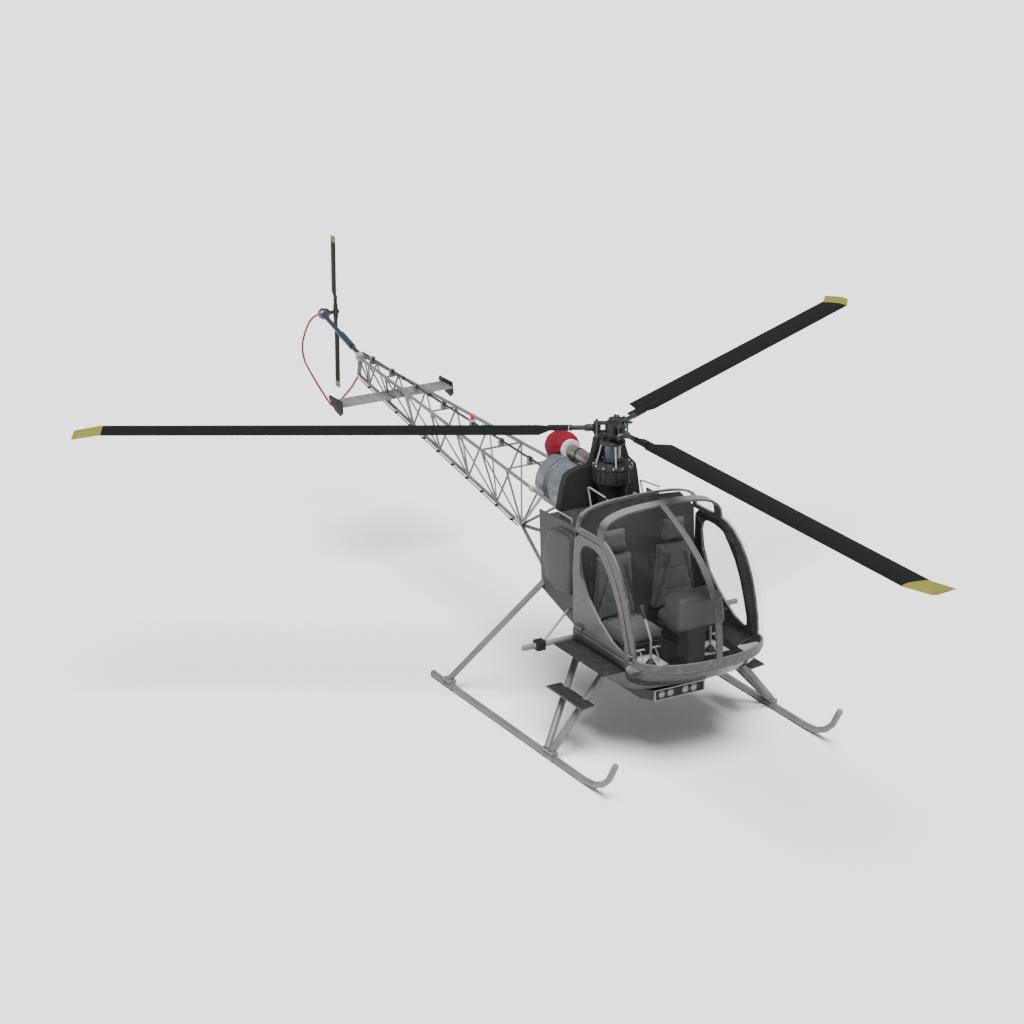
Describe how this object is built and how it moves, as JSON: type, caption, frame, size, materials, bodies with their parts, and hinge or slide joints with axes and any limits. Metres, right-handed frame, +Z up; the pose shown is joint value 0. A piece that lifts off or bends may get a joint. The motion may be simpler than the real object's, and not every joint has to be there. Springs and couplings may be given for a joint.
{
  "type": "light helicopter",
  "caption": "Light turbine helicopter on skids, with a glazed bubble cabin, hinged doors, an open lattice tail boom, and a main and a tail rotor that turn.",
  "frame": {"origin": "on the floor under the middle of the bounding box, 0.745 m behind the rotor mast and on the centre plane", "axes": "+X to the nose, +Y to port, +Z up; the skids stand on z = 0"},
  "size_m": [11.6963, 8.9805, 3.147],
  "materials": {
    "light_grey": "satin light grey paint, worn at the edges",
    "hull_grey": "satin mid grey paint",
    "dark_grey": "matt dark grey paint",
    "blade_black": "matt near-black paint, ochre at the tips",
    "steel_blue": "dull bluish steel",
    "cover_red": "red coated cloth",
    "guard_red": "gloss red paint",
    "lamp_red": "clear red lens",
    "firewall_black": "matt black paint with a grey rim",
    "seat_grey": "woven dark grey cloth",
    "glass": "clear, slightly grey"
  },
  "bodies": {
    "airframe": {"beacon": "lamp_red", "cabin_floor": "dark_grey", "cabin_frame": "light_grey", "cabin_tub": "hull_grey", "centre_structure": "hull_grey", "chin_window": "glass", "cyclic_stick": "light_grey", "end_plate_port": "dark_grey", "end_plate_starboard": "dark_grey", "engine_core": "steel_blue", "engine_drum": "steel_blue", "exhaust_cover": "cover_red", "exhaust_pipe": "steel_blue", "firewall": "firewall_black", "footboard_port": "dark_grey", "footboard_starboard": "dark_grey", "front_leg_port": "light_grey", "front_leg_starboard": "light_grey", "fuel_tank": "hull_grey", "instrument_pod": "dark_grey", "landing_light_box": "hull_grey", "main_gearbox": "dark_grey", "mast_sleeve": "steel_blue", "outrigger_bar": "light_grey", "rear_bulkhead": "dark_grey", "rear_leg_port": "light_grey", "rear_leg_starboard": "light_grey", "roof_window": "glass", "seat_port": "seat_grey", "seat_starboard": "seat_grey", "side_plate_port": "hull_grey", "side_plate_starboard": "hull_grey", "skid_port": "light_grey", "skid_starboard": "light_grey", "stabiliser": "light_grey", "tail_boom": "light_grey", "tail_drive_shaft": "steel_blue", "tail_gearbox": "steel_blue", "tail_guard": "guard_red", "tail_rotor_support": "steel_blue", "windscreen_port": "glass", "windscreen_starboard": "glass"},
    "main_rotor": {"rotor_hub": "dark_grey", "pitch_plate": "steel_blue", "main_blade_1": "blade_black", "main_blade_2": "blade_black", "main_blade_3": "blade_black"},
    "tail_rotor": {"tail_rotor_hub": "dark_grey", "tail_blade_1": "blade_black", "tail_blade_2": "blade_black"},
    "door_starboard": {"door_starboard": "light_grey", "door_glass_starboard": "glass"},
    "door_port": {"door_port": "light_grey", "door_glass_port": "glass"}
  },
  "joints": [
    {"name": "main_rotor_spin", "type": "hinge", "parent": "airframe", "child": "main_rotor", "pos_m": [0.745, 0, 2.78], "axis": [0, 0, 1], "continuous": true},
    {"name": "tail_rotor_spin", "type": "hinge", "parent": "airframe", "child": "tail_rotor", "pos_m": [-5.315, 0.155, 2.292], "axis": [0, 1, 0], "continuous": true},
    {"name": "door_starboard_hinge", "type": "hinge", "parent": "airframe", "child": "door_starboard", "pos_m": [2.2, -0.7, 1.5], "axis": [0, 0, 1], "range_deg": [0, 90]},
    {"name": "door_port_hinge", "type": "hinge", "parent": "airframe", "child": "door_port", "pos_m": [2.2, 0.7, 1.5], "axis": [0, 0, -1], "range_deg": [0, 90]}
  ]
}
